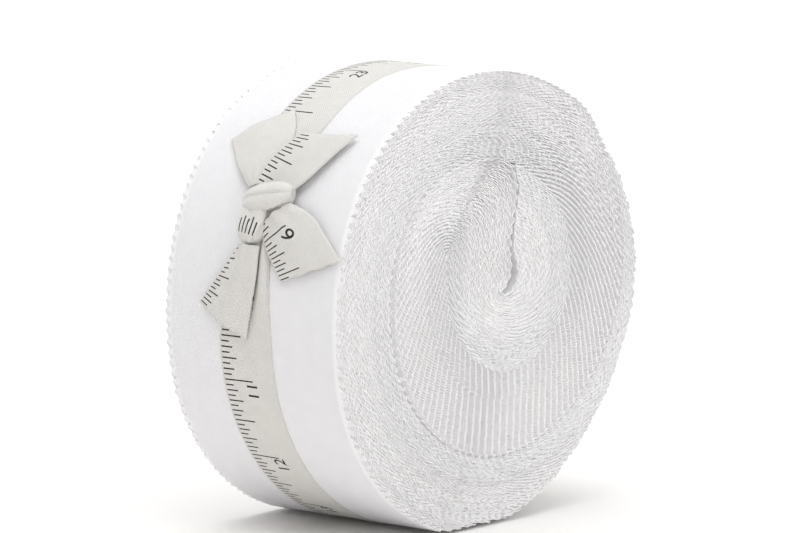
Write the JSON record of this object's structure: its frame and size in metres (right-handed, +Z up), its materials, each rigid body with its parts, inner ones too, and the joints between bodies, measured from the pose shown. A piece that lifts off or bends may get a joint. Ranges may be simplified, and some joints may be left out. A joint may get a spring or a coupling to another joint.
{
  "type": "rolled precut fabric strips tied with tape",
  "caption": "Thick round roll of pinked white fabric strips standing on its rim, tied round the middle with a cream cotton tape knotted into four short free ends",
  "frame": {"origin": "on the surface the roll stands on, under the middle of the whole object's bounding box", "axes": "+Z up; the roll's axis lies along Y; the spiral face seen in the picture looks along -Y; the knot is on the -X side"},
  "size_m": [0.1381, 0.0636, 0.1294],
  "materials": {
    "cloth": "matt plain-weave cotton, white",
    "tape": "matt twill cotton tape, natural cream with dark printed marks"
  },
  "bodies": {
    "root": {"roll": "cloth", "ribbon_band": "tape", "ribbon_knot": "tape", "ribbon_end_upper_right": "tape", "ribbon_end_upper_left": "tape", "ribbon_end_lower_right": "tape", "ribbon_end_lower_left": "tape"}
  },
  "joints": []
}
